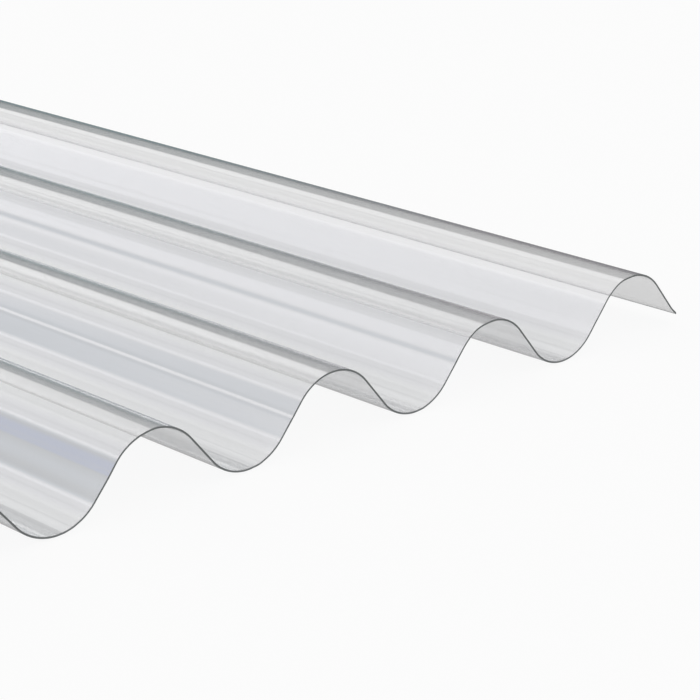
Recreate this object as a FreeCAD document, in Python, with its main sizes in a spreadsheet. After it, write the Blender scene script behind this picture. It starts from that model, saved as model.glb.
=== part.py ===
"""Corrugated polycarbonate rooflight sheet, lying flat with its troughs on the floor.

Millimetres, +Z up. X runs across the corrugations, Y along them. The origin is the
middle of the sheet's footprint, at the level of the undersides of the troughs.
"""
import FreeCAD, Part
import math
import os

import Sketcher

Vec = FreeCAD.Vector

# Driving dimensions: alias, value in millimetres (or a plain count), what it is.
SIZES = (
    ("sheet_length", 2440.0, "along the corrugations, a length it is sold in"),
    ("wave_count", 7, "whole corrugations between the two outermost crests"),
    ("wave_pitch", 146.5, "crest to crest"),
    ("profile_depth", 48.0, "underside of a trough to top of a crest"),
    ("sheet_gauge", 1.3, "thickness of the sheet, square to its surface"),
    ("flank_straight", 26.0, "straight part of a flank, between its two bends"),
    ("left_lip", 8.5, "sheet past the first crest: the edge that its neighbour covers"),
    ("right_lip", 52.0, "sheet past the last crest: the edge that covers its neighbour"),
    ("spare_waves", 1, "corrugations formed past each outermost one, then slit off"),
)

# Ends and centre of a sketch curve, as the sketcher numbers them.
START, END, CENTRE = 1, 2, 3

SHEET_NAME = "corrugated_sheet"


def make_size_sheet(doc):
    """Spreadsheet of the driving dimensions, one alias a row."""
    sizes = doc.addObject("Spreadsheet::Sheet", "sizes")
    for row, (alias, value, note) in enumerate(SIZES, start=1):
        sizes.set(f"A{row}", f"{value:g}")
        sizes.setAlias(f"A{row}", alias)
        sizes.set(f"B{row}", note)
    doc.recompute()
    return sizes


def origin_feature(body, role):
    """A body's own origin plane or axis, found by its role."""
    return next(item for item in body.Origin.OriginFeatures if item.Role == role)


def sketch_on(body, name, role):
    sketch = body.newObject("Sketcher::SketchObject", name)
    sketch.AttachmentSupport = [(origin_feature(body, role), "")]
    sketch.MapMode = "FlatFace"
    return sketch


def dimension(sketch, name, formula, kind, *geometry):
    """Adds a named dimension, bound to the size sheet by a formula."""
    index = sketch.addConstraint(Sketcher.Constraint(kind, *geometry))
    sketch.renameConstraint(index, name)
    sketch.setExpression(f"Constraints.{name}", formula)


def tie(sketch, kind, *geometry):
    sketch.addConstraint(Sketcher.Constraint(kind, *geometry))


def bend_and_slope(sizes):
    """Mid-thickness radius of the bends and slope of the flanks, in millimetres and radians.

    The level line through a crest and the line of its flank meet at a corner. The bend
    takes the same length off both, and the flank then runs on to the middle of the depth.
    """
    quarter_pitch = sizes.wave_pitch / 4
    half_rise = (sizes.profile_depth - sizes.sheet_gauge) / 2
    half_flank = sizes.flank_straight / 2
    run = math.hypot(quarter_pitch, half_rise)
    corner = (run ** 2 - half_flank ** 2) / (2 * (quarter_pitch + half_flank))
    slope = math.atan2(half_rise, quarter_pitch - corner)
    return corner / math.tan(slope / 2), slope


def draw_skin(sketch, centres, crest_radius, trough_radius, slope):
    """One skin of a corrugation: half trough, flank, crest, flank, half trough.

    Gives the numbers of the five curves, from left to right.
    """
    up, down = math.pi / 2, -math.pi / 2

    def arc(centre, radius, first_angle, last_angle):
        circle = Part.Circle(centre, Vec(0, 0, 1), radius)
        return sketch.addGeometry(Part.ArcOfCircle(circle, first_angle, last_angle), False)

    def flank(from_curve, from_end, to_curve, to_end):
        points = (sketch.getPoint(from_curve, from_end), sketch.getPoint(to_curve, to_end))
        return sketch.addGeometry(Part.LineSegment(*points), False)

    left = arc(centres[0], trough_radius, down, down + slope)
    crest = arc(centres[1], crest_radius, up - slope, up + slope)
    right = arc(centres[2], trough_radius, down - slope, down)
    rising = flank(left, END, crest, END)
    falling = flank(crest, START, right, START)
    tie(sketch, "Tangent", left, END, rising, START)
    tie(sketch, "Tangent", rising, END, crest, END)
    tie(sketch, "Tangent", crest, START, falling, START)
    tie(sketch, "Tangent", falling, END, right, START)
    return left, rising, crest, falling, right


def close_side(sketch, top_arc, under_arc, arc_end):
    """Upright line across the thickness, in the middle of a trough, where the waves join."""
    points = (sketch.getPoint(top_arc, arc_end), sketch.getPoint(under_arc, arc_end))
    side = sketch.addGeometry(Part.LineSegment(*points), False)
    tie(sketch, "Coincident", side, START, top_arc, arc_end)
    tie(sketch, "Coincident", side, END, under_arc, arc_end)
    tie(sketch, "Vertical", side)
    tie(sketch, "Vertical", under_arc, CENTRE, under_arc, arc_end)
    return side


def draw_wave(sketch, sizes, first_crest_formula, first_crest):
    """One corrugation from trough to trough: bends joined by straight flanks, even in thickness.

    The two skins share the centres of their bends, and a crest bends as a trough does.
    The solver then finds the radius and the slope that fit the pitch, depth and flanks.
    """
    origin, level_axis = (-1, 1), -1
    bend, slope = bend_and_slope(sizes)
    half_pitch = sizes.wave_pitch / 2
    outer, inner = bend + sizes.sheet_gauge / 2, bend - sizes.sheet_gauge / 2
    trough_centre, crest_centre = outer, sizes.profile_depth - outer
    centres = (
        Vec(first_crest - half_pitch, trough_centre, 0),
        Vec(first_crest, crest_centre, 0),
        Vec(first_crest + half_pitch, trough_centre, 0),
    )
    top = draw_skin(sketch, centres, outer, inner, slope)
    under = draw_skin(sketch, centres, inner, outer, slope)
    left_side = close_side(sketch, top[0], under[0], START)
    close_side(sketch, top[4], under[4], END)

    for top_arc, under_arc in zip(top[::2], under[::2]):
        tie(sketch, "Coincident", top_arc, CENTRE, under_arc, CENTRE)
    tie(sketch, "Equal", top[2], under[0])
    tie(sketch, "Equal", top[2], under[4])
    tie(sketch, "Equal", under[2], top[0])
    tie(sketch, "Equal", under[2], top[4])
    tie(sketch, "PointOnObject", under[0], START, level_axis)
    tie(sketch, "PointOnObject", under[4], END, level_axis)

    dimension(sketch, "gauge", "sizes.sheet_gauge", "Distance", left_side, sizes.sheet_gauge)
    dimension(sketch, "flank", "sizes.flank_straight", "Distance", top[1], sizes.flank_straight)
    dimension(sketch, "rising_half", "sizes.wave_pitch / 2",
              "DistanceX", top[0], CENTRE, top[2], CENTRE, half_pitch)
    dimension(sketch, "falling_half", "sizes.wave_pitch / 2",
              "DistanceX", top[2], CENTRE, top[4], CENTRE, half_pitch)
    dimension(sketch, "first_crest", first_crest_formula,
              "DistanceX", *origin, top[2], CENTRE, first_crest)
    # The top of the crest is a point of its own, so that the depth is dimensioned to it.
    crown = sketch.addGeometry(Part.Point(Vec(first_crest, sizes.profile_depth, 0)), True)
    tie(sketch, "PointOnObject", crown, START, top[2])
    tie(sketch, "Vertical", crown, START, top[2], CENTRE)
    dimension(sketch, "depth", "sizes.profile_depth", "DistanceY", *origin, crown, START,
              sizes.profile_depth)


def draw_strip(sketch, name, inner_edge_formula, inner_edge, outer_edge_formula, outer_edge, sizes):
    """Rectangle seen from above over one side of the stock, from its cut line outwards.

    It reaches half a pitch past both ends of the stock.
    """
    origin = (-1, 1)
    half_reach = (sizes.sheet_length + sizes.wave_pitch) / 2
    corners = [Vec(inner_edge, -half_reach, 0), Vec(outer_edge, -half_reach, 0),
               Vec(outer_edge, half_reach, 0), Vec(inner_edge, half_reach, 0)]
    near, outer, far, inner = [
        sketch.addGeometry(Part.LineSegment(corners[i], corners[(i + 1) % 4]), False)
        for i in range(4)
    ]
    for line, following in ((near, outer), (outer, far), (far, inner), (inner, near)):
        tie(sketch, "Coincident", line, END, following, START)
    tie(sketch, "Horizontal", near)
    tie(sketch, "Horizontal", far)
    tie(sketch, "Vertical", inner)
    tie(sketch, "Vertical", outer)
    reach = "(sizes.sheet_length + sizes.wave_pitch) / 2"
    dimension(sketch, name + "_cut", inner_edge_formula, "DistanceX", *origin, inner, START, inner_edge)
    dimension(sketch, name + "_past", outer_edge_formula, "DistanceX", *origin, outer, START, outer_edge)
    dimension(sketch, name + "_near", reach, "DistanceY", near, START, *origin, half_reach)
    dimension(sketch, name + "_far", reach, "DistanceY", *origin, far, START, half_reach)


def make_sheet(doc, sizes):
    """The sheet: one corrugation run to length, repeated across, and slit to width.

    Whatever its two lips measure, the middle of its overall width is at X = 0.
    """
    body = doc.addObject("PartDesign::Body", SHEET_NAME)
    body.Label = SHEET_NAME

    overall_width = sizes.wave_count * sizes.wave_pitch + sizes.left_lip + sizes.right_lip
    right_cut = overall_width / 2
    right_cut_formula = "(sizes.wave_count * sizes.wave_pitch + sizes.left_lip + sizes.right_lip) / 2"
    spare_width = sizes.spare_waves * sizes.wave_pitch
    first_crest = sizes.left_lip - spare_width - right_cut
    first_crest_formula = "sizes.left_lip - sizes.spare_waves * sizes.wave_pitch - " + right_cut_formula

    wave = sketch_on(body, "wave_section", "XZ_Plane")
    draw_wave(wave, sizes, first_crest_formula, first_crest)
    doc.recompute()

    run = body.newObject("PartDesign::Pad", "wave_run")
    run.Profile = wave
    run.Midplane = True
    run.setExpression("Length", "sizes.sheet_length")
    doc.recompute()

    across = body.newObject("PartDesign::LinearPattern", "waves_across")
    across.Originals = [run]
    across.Direction = (origin_feature(body, "X_Axis"), [""])
    across.Mode = "Spacing"
    across.setExpression("Offset", "sizes.wave_pitch")
    across.setExpression("Occurrences", "sizes.wave_count + 1 + 2 * sizes.spare_waves")
    body.Tip = across
    doc.recompute()

    # The strips reach past the outermost half corrugation of the stock.
    past_stock = spare_width + sizes.wave_pitch
    past_formula = "(sizes.spare_waves + 1) * sizes.wave_pitch"
    strips = sketch_on(body, "slitting_strips", "XY_Plane")
    draw_strip(strips, "left", f"-1 * {right_cut_formula}", -right_cut,
               f"-1 * {right_cut_formula} - {past_formula}", -right_cut - past_stock, sizes)
    draw_strip(strips, "right", right_cut_formula, right_cut,
               f"{right_cut_formula} + {past_formula}", right_cut + past_stock, sizes)
    doc.recompute()

    slitting = body.newObject("PartDesign::Pocket", "slitting")
    slitting.Profile = strips
    slitting.Type = "ThroughAll"
    slitting.Midplane = True
    body.Tip = slitting
    doc.recompute()
    return body


def check_model(doc, sheet, sizes):
    """Stops on anything that failed, and compares the sheet with what its sizes ask for."""
    for item in doc.Objects:
        if {"Invalid", "Error"} & set(item.State):
            raise RuntimeError(f"{item.Name} failed: {item.State}")
        if item.TypeId == "Sketcher::SketchObject" and not item.FullyConstrained:
            raise RuntimeError(f"{item.Name} isn't fully constrained")
    shape = sheet.Shape
    if shape.isNull() or not shape.isValid() or len(shape.Solids) != 1:
        raise RuntimeError("the sheet isn't one valid solid")

    box = shape.BoundBox
    width = sizes.wave_count * sizes.wave_pitch + sizes.left_lip + sizes.right_lip
    for measured, asked in ((box.XLength, width), (box.YLength, sizes.sheet_length),
                            (box.ZLength, sizes.profile_depth)):
        if abs(measured - asked) > 0.001:
            raise RuntimeError(f"the sheet measures {measured:.3f} where {asked:.3f} was asked for")
    bend, slope = bend_and_slope(sizes)
    girth = 4 * bend * slope + 2 * sizes.flank_straight
    print(f"overall {box.XLength:.1f} x {box.YLength:.1f} x {box.ZLength:.1f} mm,"
          f" volume {shape.Volume / 1000:.0f} cm3")
    print(f"bends {bend:.2f} mm at mid-thickness, flanks at {math.degrees(slope):.2f} degrees,"
          f" {girth:.1f} mm of sheet a corrugation")


def main():
    doc = FreeCAD.newDocument("corrugated_polycarbonate_sheet")
    sizes = make_size_sheet(doc)
    sheet = make_sheet(doc, sizes)
    check_model(doc, sheet, sizes)
    os.makedirs("parts", exist_ok=True)
    sheet.Shape.exportStep(f"parts/{sheet.Label}.step")


main()
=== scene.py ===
"""Looks of a clear corrugated polycarbonate sheet, lying on a pale floor.

Metres, in the row's frame: X across the corrugations, Y along them, Z up from the floor.
"""

import math

import bpy
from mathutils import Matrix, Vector


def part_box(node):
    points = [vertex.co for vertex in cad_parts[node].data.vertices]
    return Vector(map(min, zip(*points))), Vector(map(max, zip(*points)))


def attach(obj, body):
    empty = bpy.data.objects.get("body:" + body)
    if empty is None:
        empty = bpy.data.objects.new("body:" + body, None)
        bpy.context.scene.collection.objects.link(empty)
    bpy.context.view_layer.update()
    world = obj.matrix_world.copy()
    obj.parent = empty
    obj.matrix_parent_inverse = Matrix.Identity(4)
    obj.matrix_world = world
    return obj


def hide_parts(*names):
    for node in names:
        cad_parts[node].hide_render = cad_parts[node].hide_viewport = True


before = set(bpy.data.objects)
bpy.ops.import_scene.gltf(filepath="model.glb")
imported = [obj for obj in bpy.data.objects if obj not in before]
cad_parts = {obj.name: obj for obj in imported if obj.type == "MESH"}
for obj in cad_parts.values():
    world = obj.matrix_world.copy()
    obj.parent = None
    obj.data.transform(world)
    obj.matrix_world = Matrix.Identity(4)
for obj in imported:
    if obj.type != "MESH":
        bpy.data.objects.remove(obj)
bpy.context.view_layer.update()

NODE = "corrugated_sheet"
LOW, HIGH = (Vector(corner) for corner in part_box(NODE))
WIDTH = HIGH.x - LOW.x
LENGTH = HIGH.y - LOW.y
DEPTH = HIGH.z - LOW.z
MIDDLE_X = (LOW.x + HIGH.x) / 2
MIDDLE_Z = (LOW.z + HIGH.z) / 2

# The section, in metres, as the sheet is formed.
PITCH = 0.1465
GAUGE = 0.0013
FLANK_STRAIGHT = 0.026
RIGHT_LIP = 0.052
HALF_RISE = (DEPTH - GAUGE) / 2
LAST_CREST = HIGH.x - RIGHT_LIP

# How finely the sheet is meshed.
STEPS_A_BEND = 50
STEPS_A_FLANK = 40
ROWS_ALONG = 28
SHARP_TURN = math.radians(30)

# The cut edges are eased by this much, as a deburring knife leaves them.
EASED = 0.00015

# Material slots of the mesh: the two skins, and the slit sides with the eased and cut ends.
SKIN_SLOT, CUT_SLOT = 0, 1

# How far the formed sheet strays from its true section: wavelength across, height,
# phase, and how many turns the phase makes along the sheet.
STRAYS = (
    (0.0970, 0.000060, 0.3, 1.7),
    (0.0610, 0.000040, 1.9, -2.3),
    (0.0370, 0.000020, 4.4, 3.1),
    (0.0230, 0.000008, 2.7, -1.6),
)

# Long marks of the forming rollers, where the skin turns a little: crest counted back from
# the last, pitches from that crest, half-width in metres, and the turn in degrees.
ROLLER_MARKS = (
    (3, -0.475, 0.0014, -4.0),
    (3, -0.410, 0.0020, 2.6),
    (3, -0.275, 0.0060, -0.7),
    (3, -0.235, 0.0012, 1.0),
    (3, -0.215, 0.0060, 1.5),
    (3, -0.090, 0.0024, 2.2),
    (3, -0.015, 0.0060, 3.0),
    (2, -0.455, 0.0026, -4.0),
    (2, -0.420, 0.0020, 2.0),
    (2, -0.245, 0.0011, -3.4),
    (1, -0.465, 0.0018, -4.0),
    (1, -0.240, 0.0022, 2.4),
    (1, -0.205, 0.0030, -1.6),
    (1, -0.155, 0.0022, 2.6),
    (1, -0.330, 0.0014, 1.2),
    (1, -0.065, 0.0060, -4.0),
    (0, -0.055, 0.0060, -4.0),
    (0, -0.290, 0.0018, 1.0),
)
MARK_REACH = 5  # half-widths from its middle, where a mark has faded out

# The most that all the strays and the tallest mark come to. A mark stands highest one
# half-width from its middle.
MOST_STRAY = sum(height for _, height, _, _ in STRAYS) + math.exp(-0.5) * max(
    half_width * math.radians(abs(turn)) for _, _, half_width, turn in ROLLER_MARKS)


def bend_and_slope():
    """Mid-thickness radius of the bends and slope of the flanks, in metres and radians."""
    quarter_pitch = PITCH / 4
    half_flank = FLANK_STRAIGHT / 2
    run = math.hypot(quarter_pitch, HALF_RISE)
    corner = (run ** 2 - half_flank ** 2) / (2 * (quarter_pitch + half_flank))
    slope = math.atan2(HALF_RISE, quarter_pitch - corner)
    return corner / math.tan(slope / 2), slope


BEND, SLOPE = bend_and_slope()
BEND_GIRTH = BEND * SLOPE
GIRTH = 4 * BEND_GIRTH + 2 * FLANK_STRAIGHT


def quarter_wave(girth):
    """Point, counted from a crest, and slope on the mid-line, as far down as mid-height."""
    if girth <= BEND_GIRTH:
        angle = girth / BEND
        return BEND * math.sin(angle), -BEND * (1 - math.cos(angle)), -angle
    past = girth - BEND_GIRTH
    return (BEND * math.sin(SLOPE) + past * math.cos(SLOPE),
            -BEND * (1 - math.cos(SLOPE)) - past * math.sin(SLOPE), -SLOPE)


def mid_line(girth):
    """Point and slope angle on the mid-line, at a signed girth from the last crest."""
    waves = math.floor(girth / GIRTH + 0.5)
    local = girth - waves * GIRTH
    side = 1 if local >= 0 else -1
    local = abs(local)
    if local <= GIRTH / 4:
        x, drop, slope = quarter_wave(local)
        z = HALF_RISE + drop
    else:
        x, drop, slope = quarter_wave(GIRTH / 2 - local)
        x = PITCH / 2 - x
        z = -HALF_RISE - drop
    return LAST_CREST + waves * PITCH + side * x, MIDDLE_Z + z, side * slope


def skin_point(girth, side, ease=0.0, off=0.0):
    """Point on the top skin (side 1) or the under skin (side -1)."""
    x, z, slope = mid_line(girth)
    out = side * (GAUGE / 2 - ease) + off
    return x - out * math.sin(slope), z + out * math.cos(slope)


def girth_at(x, side):
    """The girth at which a skin crosses an upright cut at x, by halving."""
    low = (x - LAST_CREST) / PITCH * GIRTH - GIRTH / 2
    high = low + GIRTH
    halvings = 48
    for _ in range(halvings):
        half = (low + high) / 2
        if skin_point(half, side)[0] < x:
            low = half
        else:
            high = half
    return (low + high) / 2


MARKS_BY_GIRTH = [
    (girth_at(LAST_CREST + (from_crest - crest) * PITCH, 1), half_width, math.radians(turn))
    for crest, from_crest, half_width, turn in ROLLER_MARKS]


def stray(girth, y):
    """How far the sheet stands off its true section there, the same for both skins."""
    along = (y - LOW.y) / LENGTH
    off = sum(height * math.sin(2 * math.pi * (girth / length + turns * along) + phase)
              for length, height, phase, turns in STRAYS)
    for middle, half_width, turn in MARKS_BY_GIRTH:
        across = (girth - middle) / half_width
        if abs(across) < MARK_REACH:
            off += turn * half_width * across * math.exp(-across ** 2 / 2)
    return off


def held_in(x, z):
    """The point drawn in so far that no stray leaves the true section's box."""
    return (MIDDLE_X + (x - MIDDLE_X) * (1 - MOST_STRAY / (WIDTH / 2)),
            MIDDLE_Z + (z - MIDDLE_Z) * (1 - MOST_STRAY / (DEPTH / 2)))


def stations(side):
    """Girths where the section has a point: ends of bends and flanks, and steps between."""
    first, last = girth_at(LOW.x, side), girth_at(HIGH.x, side)
    marks = []
    for wave in range(math.floor(first / GIRTH) - 1, math.ceil(last / GIRTH) + 2):
        crest = wave * GIRTH
        trough = crest + GIRTH / 2
        spans = ((crest - BEND_GIRTH, crest + BEND_GIRTH, STEPS_A_BEND),
                 (crest + BEND_GIRTH, trough - BEND_GIRTH, STEPS_A_FLANK),
                 (trough - BEND_GIRTH, trough + BEND_GIRTH, STEPS_A_BEND),
                 (trough + BEND_GIRTH, crest + GIRTH - BEND_GIRTH, STEPS_A_FLANK))
        for start, end, steps in spans:
            marks += [start + (end - start) * i / steps for i in range(steps)]
    clear_of_sides = GIRTH / 400
    inside = [mark for mark in marks if first + clear_of_sides < mark < last - clear_of_sides]
    return [first] + inside + [last]


def rows_along():
    """Where the section is repeated along the sheet, with a narrow eased row at each cut end."""
    inner = LENGTH - 2 * EASED
    between = [LOW.y + EASED + inner * i / ROWS_ALONG for i in range(1, ROWS_ALONG)]
    return [LOW.y, LOW.y + EASED, *between, HIGH.y - EASED, HIGH.y]


def section_ring(top, under, y, ease):
    """Points round the section: across the top skin and back along the under skin."""
    ring = []
    for side, girths in ((1, top), (-1, reversed(under))):
        for girth in girths:
            x, z = held_in(*skin_point(girth, side, ease, stray(girth, y)))
            ring.append((x, y, z))
    return ring


def faces_along(rows, across):
    """Faces from each ring of points to the next, with their material slots."""
    ring = 2 * across
    faces, slots = [], []
    for row in range(rows - 1):
        here, beyond = row * ring, (row + 1) * ring
        for i in range(ring):
            j = (i + 1) % ring
            faces.append((here + i, here + j, beyond + j, beyond + i))
            slit_side = i in (across - 1, ring - 1)
            eased_end = row in (0, rows - 2)
            slots.append(CUT_SLOT if slit_side or eased_end else SKIN_SLOT)
    return faces, slots


def end_faces(rows, across):
    """Faces that close the two cut ends, from one skin to the other."""
    ring = 2 * across
    faces = []
    for base, turned in ((0, False), ((rows - 1) * ring, True)):
        for i in range(across - 1):
            quad = (base + i, base + i + 1, base + ring - 2 - i, base + ring - 1 - i)
            faces.append(quad if turned else quad[::-1])
    return faces


def sheet_mesh():
    """The whole sheet as one closed mesh: two skins, two slit sides and two cut ends."""
    top, under = stations(1), stations(-1)
    while len(top) != len(under):
        longer = top if len(top) > len(under) else under
        del longer[1]

    ys = rows_along()
    points = []
    for row, y in enumerate(ys):
        ease = EASED if row in (0, len(ys) - 1) else 0.0
        points += section_ring(top, under, y, ease)

    faces, slots = faces_along(len(ys), len(top))
    ends = end_faces(len(ys), len(top))
    faces += ends
    slots += [CUT_SLOT] * len(ends)

    mesh = bpy.data.meshes.new(NODE + "_clear")
    mesh.from_pydata(points, [], faces)
    mesh.polygons.foreach_set("material_index", slots)
    mesh.polygons.foreach_set("use_smooth", [True] * len(faces))
    mesh.update()
    mark_sharp_edges(mesh)
    return mesh


def mark_sharp_edges(mesh):
    """An edge where two faces turn by more than SHARP_TURN stays sharp."""
    limit = math.cos(SHARP_TURN)
    beside = {}
    for face in mesh.polygons:
        for key in face.edge_keys:
            beside.setdefault(key, []).append(face.normal)
    for edge in mesh.edges:
        normals = beside.get(edge.key, [])
        edge.use_edge_sharp = len(normals) == 2 and normals[0].dot(normals[1]) < limit


def node(tree, kind, **inputs):
    """A shader node with its inputs set: numbers and colours by value, sockets by a link."""
    made = tree.nodes.new(kind)
    for name, value in inputs.items():
        socket = made.inputs[name.replace("_", " ")]
        if isinstance(value, bpy.types.NodeSocket):
            tree.links.new(value, socket)
        else:
            socket.default_value = value
    return made


def new_material(name):
    """A material with an empty node tree, and that tree."""
    material = bpy.data.materials.new(name)
    material.use_nodes = True
    material.node_tree.nodes.clear()
    return material, material.node_tree


def put_out(tree, surface, kind="Material"):
    """Make a shader the surface of a material, or of the world."""
    out = node(tree, "ShaderNodeOutput" + kind)
    tree.links.new(surface, out.inputs["Surface"])


def maths(tree, operation, first, second):
    """A Math node's output for two inputs, each a socket or a number."""
    made = node(tree, "ShaderNodeMath")
    made.operation = operation
    for socket, value in zip(made.inputs, (first, second)):
        if isinstance(value, bpy.types.NodeSocket):
            tree.links.new(value, socket)
        else:
            socket.default_value = value
    return made.outputs[0]


def mixed(tree, share, first, second):
    """The first shader with a share of the second."""
    mix = tree.nodes.new("ShaderNodeMixShader")
    tree.links.new(share, mix.inputs[0])
    tree.links.new(first, mix.inputs[1])
    tree.links.new(second, mix.inputs[2])
    return mix.outputs[0]


def noise(tree, place, per_metre, detail):
    """Noise with so many features for each metre along X, Y and Z."""
    stretched = node(tree, "ShaderNodeMapping", Vector=place, Scale=per_metre).outputs[0]
    return node(tree, "ShaderNodeTexNoise", Vector=stretched, Scale=1.0, Detail=detail).outputs[0]


def spread(tree, value, old, new):
    """A value that runs over the old range made into one that runs over the new range."""
    made = node(tree, "ShaderNodeMapRange", Value=value)
    for end, number in zip(("From Min", "From Max", "To Min", "To Max"), (*old, *new)):
        made.inputs[end].default_value = number
    return made.outputs[0]


# Of polycarbonate.
REFRACTIVE_INDEX = 1.585


def clear_polycarbonate():
    """Clear extruded polycarbonate: glossy and refracting, drawn in fine lines along the sheet."""
    clear, let_through = (0.985, 0.985, 0.987, 1), (0.86, 0.865, 0.87, 1)
    line_height = 0.000006
    handled_range, roughness_range = (0.35, 0.75), (0.012, 0.045)

    material, tree = new_material("clear polycarbonate")
    place = node(tree, "ShaderNodeTexCoord").outputs["Object"]
    drawn = noise(tree, place, per_metre=(320, 0.5, 320), detail=3.0)
    handled = noise(tree, place, per_metre=(9, 4, 9), detail=5.0)
    relief = node(tree, "ShaderNodeBump", Height=drawn, Strength=1.0, Distance=line_height)
    haze = spread(tree, handled, handled_range, roughness_range)

    shader = node(tree, "ShaderNodeBsdfPrincipled", Base_Color=clear, IOR=REFRACTIVE_INDEX,
                  Transmission_Weight=1.0, Normal=relief.outputs[0], Roughness=haze)

    # Light on its way to a lamp or from a matt surface goes straight through.
    through = node(tree, "ShaderNodeBsdfTransparent", Color=let_through).outputs[0]
    path = node(tree, "ShaderNodeLightPath")
    surface = mixed(tree, path.outputs["Is Diffuse Ray"], shader.outputs[0], through)
    put_out(tree, mixed(tree, path.outputs["Is Shadow Ray"], surface, through))
    return material


def cut_edge():
    """Sawn and eased edge: slightly rough, and dark by painted shade: an opaque dark grey stands
    for the darkness seen as the eye looks into the sheet's length.
    """
    # Painted shade: the clear plastic's edge gets this opaque dark grey for the darkness seen
    # along the sheet's length.
    dark = (0.14, 0.15, 0.15, 1)
    mark_height = 0.00006
    sawn_range, roughness_range = (0.3, 0.7), (0.32, 0.55)

    material, tree = new_material("cut polycarbonate with painted shade")
    place = node(tree, "ShaderNodeTexCoord").outputs["Object"]
    sawn = noise(tree, place, per_metre=(900, 900, 60), detail=3.0)
    relief = node(tree, "ShaderNodeBump", Height=sawn, Strength=0.6, Distance=mark_height)
    roughness = spread(tree, sawn, sawn_range, roughness_range)
    shader = node(tree, "ShaderNodeBsdfPrincipled", Base_Color=dark, IOR=REFRACTIVE_INDEX,
                  Normal=relief.outputs[0], Roughness=roughness)
    put_out(tree, shader.outputs[0])
    return material


def make_sheet():
    """The sheet that is seen, in place of the plain solid."""
    piece = bpy.data.objects.new("clear_sheet", sheet_mesh())
    bpy.context.collection.objects.link(piece)
    piece.data.materials.append(clear_polycarbonate())
    piece.data.materials.append(cut_edge())
    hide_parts(NODE)
    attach(piece, "root")


def mirrored_on_the_way(tree):
    """1 for a ray that the sheet's gloss has turned back at least once, else 0."""
    path = node(tree, "ShaderNodeLightPath")
    return maths(tree, "GREATER_THAN", path.outputs["Glossy Depth"], 0.5)


def pale_floor():
    """White floor with a light shadow. In the sheet's gloss it shows only from close by."""
    grey = (0.80, 0.80, 0.80, 1)
    evened_out = 0.85
    close_by = (0.007, 0.012)

    material, tree = new_material("pale floor")
    path = node(tree, "ShaderNodeLightPath")
    lit = node(tree, "ShaderNodeBsdfDiffuse", Color=grey)
    white = node(tree, "ShaderNodeEmission", Color=(1, 1, 1, 1), Strength=1.0)
    seen = mixed(tree, maths(tree, "MULTIPLY", path.outputs["Is Camera Ray"], evened_out),
                 lit.outputs[0], white.outputs[0])

    open_below = node(tree, "ShaderNodeBsdfTransparent")
    far_off = spread(tree, path.outputs["Ray Length"], close_by, (0, 1))
    left_out = maths(tree, "MULTIPLY", mirrored_on_the_way(tree), far_off)
    put_out(tree, mixed(tree, left_out, seen, open_below.outputs[0]))
    return material


def make_floor():
    """Plain pale floor, wide enough to run out of every view."""
    half = 40.0
    mesh = bpy.data.meshes.new("floor")
    mesh.from_pydata([(-half, -half, 0), (half, -half, 0), (half, half, 0), (-half, half, 0)], [],
                     [(0, 1, 2, 3)])
    floor = bpy.data.objects.new("floor", mesh)
    bpy.context.collection.objects.link(floor)
    floor.location.z = LOW.z
    mesh.materials.append(pale_floor())


# What the gloss of the sheet mirrors, by the angle round the corrugations' direction: 0 is
# level to the right, 90 overhead, 180 level to the left. Degrees, then a brightness and a tint.
NEUTRAL = (1.0, 1.0, 1.0)
COOL = (0.99, 0.98, 1.035)
PALE_LILAC = (0.99, 0.97, 1.02)
LILAC = (0.85, 0.98, 1.20)
BLUE = (0.0, 0.2, 1.0)
STUDIO_STRIPS = (
    (-180, 0.15, NEUTRAL),
    (-95, 0.30, NEUTRAL),
    (-78, 0.34, NEUTRAL),
    (-70, 0.44, NEUTRAL),
    (-52, 0.46, NEUTRAL),
    (-34, 0.38, NEUTRAL),
    (-27.5, 0.21, PALE_LILAC),
    (-21.5, 0.34, PALE_LILAC),
    (-8, 0.24, PALE_LILAC),
    (4, 0.30, PALE_LILAC),
    (16, 0.16, PALE_LILAC),
    (40.5, 0.15, PALE_LILAC),
    (43.5, 1.25, NEUTRAL),
    (46, 1.25, NEUTRAL),
    (62, 1.55, NEUTRAL),
    (66, 1.35, NEUTRAL),
    (69, 1.00, NEUTRAL),
    (73, 1.50, NEUTRAL),
    (85, 1.35, NEUTRAL),
    (90, 1.75, NEUTRAL),
    (105, 1.50, COOL),
    (109, 1.20, COOL),
    (113, 1.50, COOL),
    (119, 1.45, COOL),
    (122.5, 2.20, COOL),
    (124.5, 2.15, COOL),
    (127, 1.60, COOL),
    (130, 0.85, LILAC),
    (134, 0.26, LILAC),
    (137, 0.80, BLUE),
    (150, 0.40, NEUTRAL),
    (180, 0.15, NEUTRAL),
)
BRIGHTEST = max(level for _, level, _ in STUDIO_STRIPS)

# The dark strips, either side of their middle angle as far as where they run out, turn
# grey-green towards the far end, as the Y of the direction goes through its range.
GREY_GREEN = (0.82, 1.04, 1.03)
DARK_MIDDLE = math.radians(8)
DARK_RUNS_OUT = (math.radians(30), math.radians(34))
FAR_END = (0.65, 0.76)


def strips_by_angle(tree, angle):
    """Colour of the studio's strips at an angle in radians, as a share of the brightest."""
    place = spread(tree, angle, (-math.pi, math.pi), (0, 1))
    ramp = node(tree, "ShaderNodeValToRGB", Fac=place)
    stops = ramp.color_ramp.elements
    for index, (degrees, level, tint) in enumerate(STUDIO_STRIPS):
        position = (degrees + 180) / 360
        stop = stops[index] if index < 2 else stops.new(position)
        stop.position = position
        stop.color = (*(level / BRIGHTEST * part for part in tint), 1)
    return ramp.outputs[0]


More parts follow.
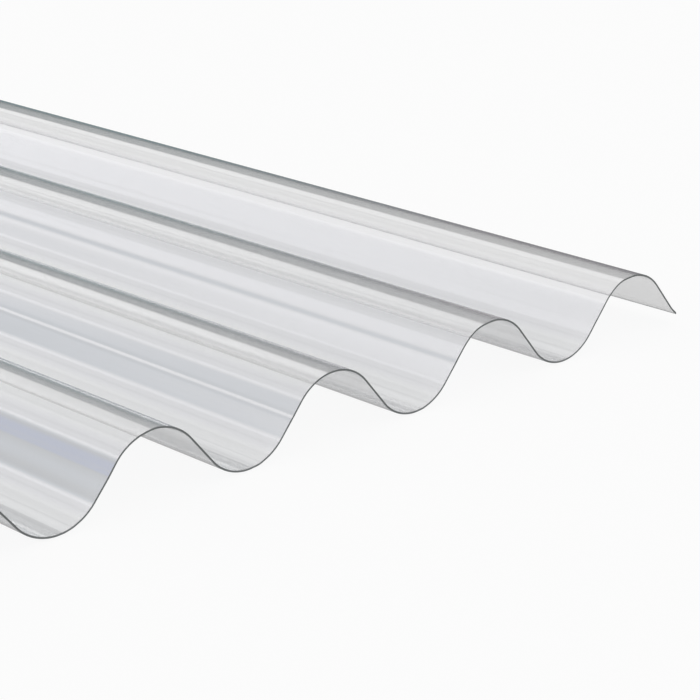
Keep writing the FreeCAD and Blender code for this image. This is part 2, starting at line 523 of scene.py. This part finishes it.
def make_world():
    """White all round, seen directly or through the sheet, and long soft lights in its gloss."""
    world = bpy.data.worlds.new("studio")
    bpy.context.scene.world = world
    world.use_nodes = True
    tree = world.node_tree
    tree.nodes.clear()

    direction = node(tree, "ShaderNodeTexCoord").outputs["Generated"]
    parts = node(tree, "ShaderNodeSeparateXYZ", Vector=direction)
    angle = maths(tree, "ARCTAN2", parts.outputs["Z"], parts.outputs["X"])

    off_middle = maths(tree, "ABSOLUTE", maths(tree, "SUBTRACT", angle, DARK_MIDDLE), 0)
    dark = spread(tree, off_middle, DARK_RUNS_OUT, (1, 0))
    far_end = spread(tree, parts.outputs["Y"], FAR_END, (0, 1))
    tinted = node(tree, "ShaderNodeMixRGB", Fac=maths(tree, "MULTIPLY", dark, far_end),
                  Color1=strips_by_angle(tree, angle), Color2=(*GREY_GREEN, 1))
    tinted.blend_type = "MULTIPLY"

    white = node(tree, "ShaderNodeBackground", Color=(1, 1, 1, 1), Strength=1.0)
    strips = node(tree, "ShaderNodeBackground", Color=tinted.outputs[0], Strength=BRIGHTEST)
    seen = mixed(tree, mirrored_on_the_way(tree), white.outputs[0], strips.outputs[0])
    put_out(tree, seen, kind="World")


def make_camera():
    """Camera of the photograph: in front of the cut end, to its left, looking down the sheet."""
    azimuth, elevation = math.radians(43.98), math.radians(18.93)
    focal_pixels, image_pixels, sensor_mm = 2360.0, 700.0, 36.0
    eye_from_crest = Vector((-0.8182, -1.0138, 0.5172))
    crest_seen_third = Vector((LAST_CREST - 3 * PITCH, LOW.y, MIDDLE_Z))
    data = bpy.data.cameras.new("photo camera")
    data.sensor_fit = "HORIZONTAL"
    data.sensor_width = sensor_mm
    data.lens = focal_pixels / image_pixels * sensor_mm
    data.clip_start = 0.05
    data.clip_end = 200.0
    camera = bpy.data.objects.new("photo camera", data)
    bpy.context.collection.objects.link(camera)
    camera.location = crest_seen_third + eye_from_crest
    camera.rotation_euler = (math.pi / 2 - elevation, 0, -azimuth)
    bpy.context.scene.camera = camera


def set_view():
    """Plain colours, and enough bounces for light that crosses several corrugations."""
    scene = bpy.context.scene
    scene.view_settings.view_transform = "Standard"
    scene.cycles.max_bounces = 32
    scene.cycles.transmission_bounces = 32
    scene.cycles.glossy_bounces = 12
    scene.cycles.transparent_max_bounces = 48


make_sheet()
make_floor()
make_world()
make_camera()
set_view()
